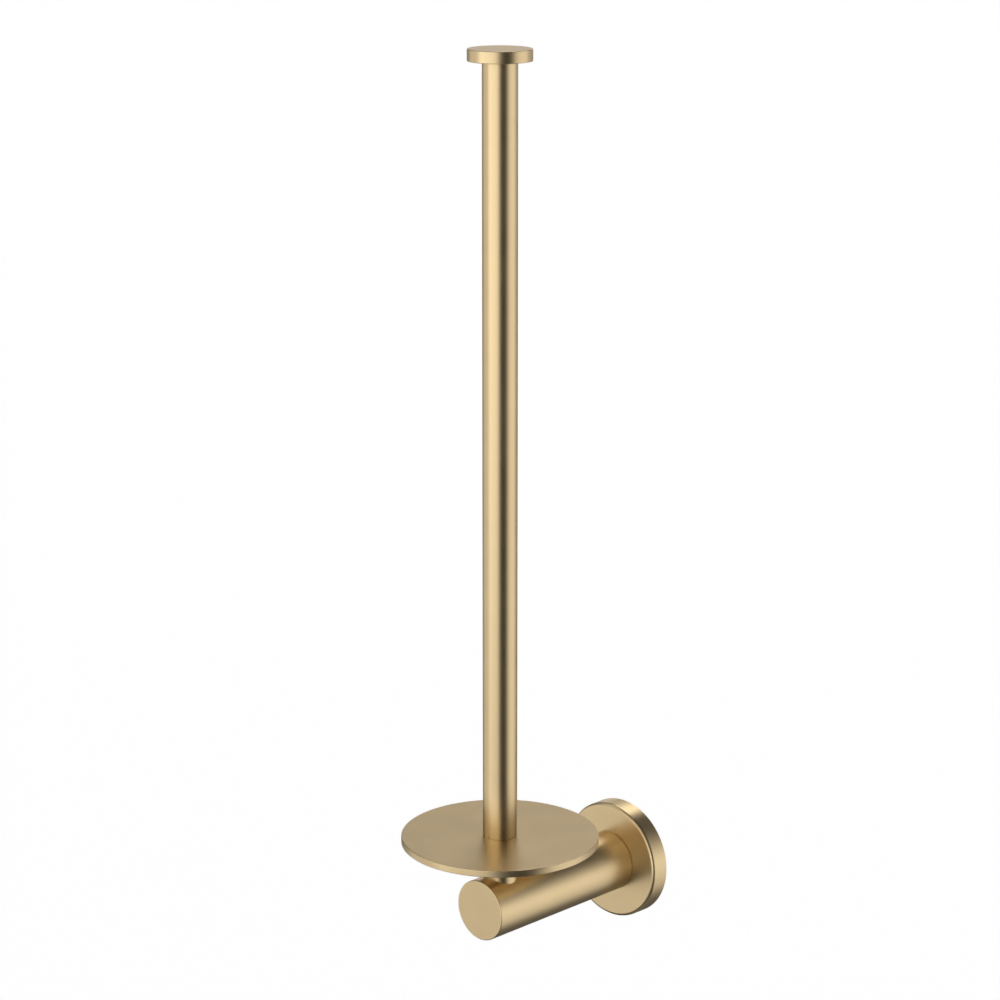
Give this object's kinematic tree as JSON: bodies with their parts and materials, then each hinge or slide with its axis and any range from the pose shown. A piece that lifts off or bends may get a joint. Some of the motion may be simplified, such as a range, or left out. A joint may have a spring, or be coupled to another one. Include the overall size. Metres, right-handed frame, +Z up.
{
  "type": "vertical toilet roll holder",
  "caption": "Wall-mounted holder for spare toilet rolls: a round rose and thick arm carry a flat round tray and a tall capped post that the rolls stack on, in satin gold.",
  "frame": {"origin": "centre of the rose's back, on the wall plane and on the arm's axis", "axes": "+Z up along the post, +Y into the wall, so the arm stands out towards -Y; +X to the right of someone facing the wall"},
  "size_m": [0.081, 0.1158, 0.3751],
  "materials": {
    "satin_gold": "fine satin brushed, pale gold",
    "bare_brass": "turned, uncoated",
    "zinc": "die-cast zinc, dull",
    "stainless": "stainless steel, as rolled"
  },
  "bodies": {
    "root": {"wall_bracket": "zinc", "rose_cover": "satin_gold", "rose_set_screw": "stainless", "arm_fixing_screw": "stainless", "arm_screw_washer": "stainless", "arm_locating_pin": "stainless", "arm_root_plug": "bare_brass", "arm_tube": "satin_gold", "arm_end_plug": "satin_gold", "post_bolt": "stainless", "post_bolt_washer": "stainless", "bolt_hole_cover": "satin_gold", "neck_collar": "satin_gold", "tray_disc": "satin_gold", "post_base_insert": "bare_brass", "post_tube": "satin_gold", "post_top_insert": "bare_brass", "cap_stud": "stainless", "top_cap": "satin_gold"}
  },
  "joints": []
}
